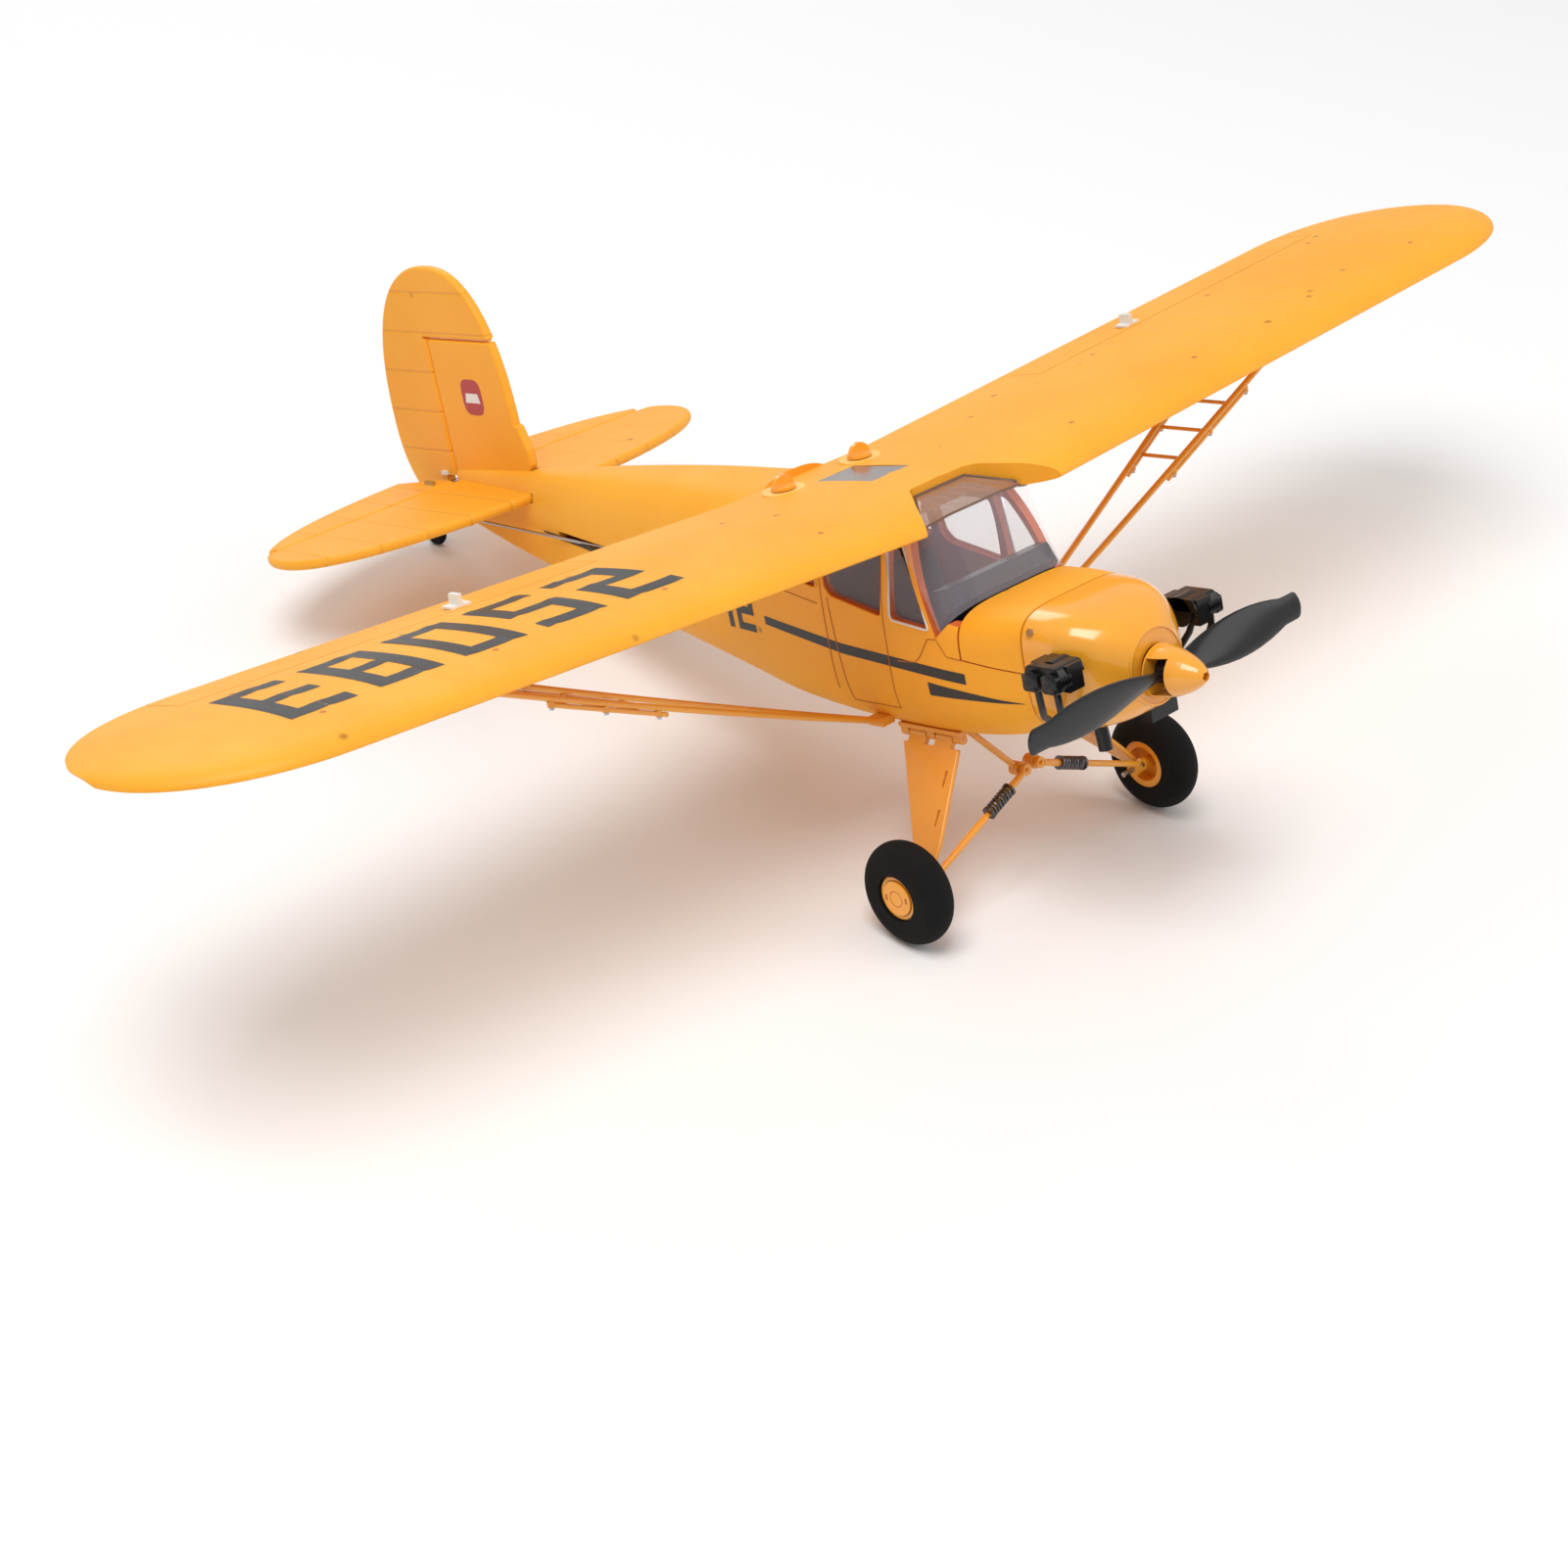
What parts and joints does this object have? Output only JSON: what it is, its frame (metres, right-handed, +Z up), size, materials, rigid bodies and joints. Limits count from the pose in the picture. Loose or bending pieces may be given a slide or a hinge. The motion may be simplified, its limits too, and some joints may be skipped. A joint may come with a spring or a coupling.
{
  "type": "radio-controlled foam aeroplane",
  "caption": "High-wing strut-braced foam park flyer with ailerons, elevator, rudder, tail-wheel gear, lift-off hatch and electric motor.",
  "frame": {"origin": "centre of the box's base, on the plane the three wheels stand on", "axes": "+X to the left wing tip, nose towards -Y, +Z up, standing nose-high on its wheels"},
  "size_m": [0.65, 0.4446, 0.1521],
  "materials": {
    "foam": "moulded expanded foam, fine bead texture, satin",
    "yellow_plastic": "moulded plastic, satin gloss",
    "clear": "clear vacuum-formed plastic, slight tint",
    "black_plastic": "black moulded plastic",
    "grey_foam": "dark grey moulded foam",
    "tyre": "closed-cell foam tyre, matte",
    "white_plastic": "white nylon",
    "steel": "bright wire and spring steel",
    "aluminium": "machined aluminium",
    "copper": "wound copper stator",
    "battery_wrap": "heat-shrunk blue film",
    "strap": "woven hook-and-loop strap",
    "board": "solder-masked circuit board"
  },
  "bodies": {
    "airframe": {"leg_left": "yellow_plastic", "leg_right": "yellow_plastic", "shock_upper_left": "yellow_plastic", "shock_upper_right": "yellow_plastic", "shock_lower_left": "yellow_plastic", "shock_lower_right": "yellow_plastic", "fuselage_left": "foam", "fuselage_right": "foam", "side_windows": "clear", "seats": "grey_foam", "wing": "foam", "wing_spar": "black_plastic", "skylight": "clear", "lock_plates": "foam", "aileron_servos": "black_plastic", "fin": "foam", "stabilizer": "foam", "tail_servos": "black_plastic", "motor_mount": "black_plastic", "motor_stator": "copper", "windshield": "clear", "dash_panel": "black_plastic", "cowl": "yellow_plastic", "cowl_screws": "steel", "engine_trim": "black_plastic", "battery": "battery_wrap", "battery_strap": "strap", "electronics": "board", "gear_cabane": "yellow_plastic", "lift_struts": "yellow_plastic", "jury_frames": "yellow_plastic"},
    "hatch": {"hatch": "foam"},
    "propeller": {"motor_bell": "aluminium", "propeller": "black_plastic", "prop_nut": "aluminium", "spinner": "yellow_plastic"},
    "elevator": {"elevator": "foam", "elevator_joiner": "steel"},
    "elevator_arm": {"elevator_arm": "white_plastic"},
    "elevator_rod": {"elevator_rod": "steel"},
    "rudder": {"rudder": "foam", "rudder_horn": "white_plastic", "tail_fork": "steel"},
    "rudder_arm": {"rudder_arm": "white_plastic"},
    "rudder_rod": {"rudder_rod": "steel"},
    "tail_wheel": {"tail_wheel": "tyre"},
    "knob_left": {"lock_knob_left": "yellow_plastic"},
    "aileron_left": {"aileron_left": "foam", "aileron_horn_left": "white_plastic"},
    "aileron_arm_left": {"aileron_arm_left": "white_plastic"},
    "aileron_rod_left": {"aileron_rod_left": "steel"},
    "wheel_left": {"hub_left": "yellow_plastic", "tyre_left": "tyre"},
    "knob_right": {"lock_knob_right": "yellow_plastic"},
    "aileron_right": {"aileron_right": "foam", "aileron_horn_right": "white_plastic"},
    "aileron_arm_right": {"aileron_arm_right": "white_plastic"},
    "aileron_rod_right": {"aileron_rod_right": "steel"},
    "wheel_right": {"hub_right": "yellow_plastic", "tyre_right": "tyre"}
  },
  "joints": [
    {"name": "prop_spin", "type": "hinge", "parent": "airframe", "child": "propeller", "pos_m": [0, -0.19819, 0.10185], "axis": [0, -0.9633, 0.2683], "continuous": true},
    {"name": "hatch_lift", "type": "slide", "parent": "airframe", "child": "hatch", "axis": [0, 0.2683, 0.9633], "range_m": [0, 0.014]},
    {"name": "elevator_hinge", "type": "hinge", "parent": "airframe", "child": "elevator", "pos_m": [0, 0.17417, 0.03737], "axis": [1, 0, 0], "range_deg": [-20, 20]},
    {"name": "elevator_arm_turn", "type": "hinge", "parent": "airframe", "child": "elevator_arm", "pos_m": [-0.0124, -0.03494, 0.08419], "axis": [1, 0, 0], "range_deg": [-32, 32]},
    {"name": "elevator_rod_turn", "type": "hinge", "parent": "elevator_arm", "child": "elevator_rod", "pos_m": [-0.0146, -0.03735, 0.07552], "axis": [1, 0, 0], "range_deg": [-32, 32]},
    {"name": "rudder_hinge", "type": "hinge", "parent": "airframe", "child": "rudder", "pos_m": [0, 0.18006, 0.04922], "axis": [0, 0.2683, 0.9633], "range_deg": [-25, 25]},
    {"name": "rudder_arm_turn", "type": "hinge", "parent": "airframe", "child": "rudder_arm", "pos_m": [0, -0.0114, 0.05688], "axis": [0, 0.2683, 0.9633], "range_deg": [-32, 32]},
    {"name": "rudder_rod_turn", "type": "hinge", "parent": "rudder_arm", "child": "rudder_rod", "pos_m": [0.009, -0.01087, 0.0588], "axis": [0, 0.2683, 0.9633], "range_deg": [-32, 32]},
    {"name": "tail_wheel_spin", "type": "hinge", "parent": "rudder", "child": "tail_wheel", "pos_m": [0, 0.19539, 0.0055], "axis": [1, 0, 0], "continuous": true},
    {"name": "knob_left_turn", "type": "hinge", "parent": "airframe", "child": "knob_left", "pos_m": [0.019, -0.04161, 0.11615], "axis": [0, 0.2683, 0.9633], "range_deg": [0, 90]},
    {"name": "aileron_left_hinge", "type": "hinge", "parent": "airframe", "child": "aileron_left", "pos_m": [0.166, -0.04576, 0.12733], "axis": [0.9983, 0.0155, 0.0558], "range_deg": [-20, 20]},
    {"name": "aileron_arm_left_turn", "type": "hinge", "parent": "airframe", "child": "aileron_arm_left", "pos_m": [0.16634, -0.08489, 0.13219], "axis": [0.9983, 0.0155, 0.0558], "range_deg": [-32, 32]},
    {"name": "aileron_rod_left_turn", "type": "hinge", "parent": "aileron_arm_left", "child": "aileron_rod_left", "pos_m": [0.16911, -0.0832, 0.12149], "axis": [0.9983, 0.0155, 0.0558], "range_deg": [-32, 32]},
    {"name": "wheel_left_spin", "type": "hinge", "parent": "airframe", "child": "wheel_left", "pos_m": [0.064, -0.1512, 0.019], "axis": [1, 0, 0], "continuous": true},
    {"name": "knob_right_turn", "type": "hinge", "parent": "airframe", "child": "knob_right", "pos_m": [-0.019, -0.04161, 0.11615], "axis": [0, -0.2683, -0.9633], "range_deg": [0, 90]},
    {"name": "aileron_right_hinge", "type": "hinge", "parent": "airframe", "child": "aileron_right", "pos_m": [-0.166, -0.04576, 0.12733], "axis": [0.9983, -0.0155, -0.0558], "range_deg": [-20, 20]},
    {"name": "aileron_arm_right_turn", "type": "hinge", "parent": "airframe", "child": "aileron_arm_right", "pos_m": [-0.16634, -0.08489, 0.13219], "axis": [0.9983, -0.0155, -0.0558], "range_deg": [-32, 32]},
    {"name": "aileron_rod_right_turn", "type": "hinge", "parent": "aileron_arm_right", "child": "aileron_rod_right", "pos_m": [-0.16911, -0.0832, 0.12149], "axis": [0.9983, -0.0155, -0.0558], "range_deg": [-32, 32]},
    {"name": "wheel_right_spin", "type": "hinge", "parent": "airframe", "child": "wheel_right", "pos_m": [-0.064, -0.1512, 0.019], "axis": [1, 0, 0], "continuous": true}
  ],
  "couplings": [
    {"joint": "elevator_arm_turn", "follows": "elevator_hinge", "ratio": 1},
    {"joint": "elevator_rod_turn", "follows": "elevator_hinge", "ratio": -1},
    {"joint": "rudder_arm_turn", "follows": "rudder_hinge", "ratio": 1},
    {"joint": "rudder_rod_turn", "follows": "rudder_hinge", "ratio": -1},
    {"joint": "aileron_arm_left_turn", "follows": "aileron_left_hinge", "ratio": 1},
    {"joint": "aileron_rod_left_turn", "follows": "aileron_left_hinge", "ratio": -1},
    {"joint": "aileron_arm_right_turn", "follows": "aileron_right_hinge", "ratio": 1},
    {"joint": "aileron_rod_right_turn", "follows": "aileron_right_hinge", "ratio": -1}
  ]
}
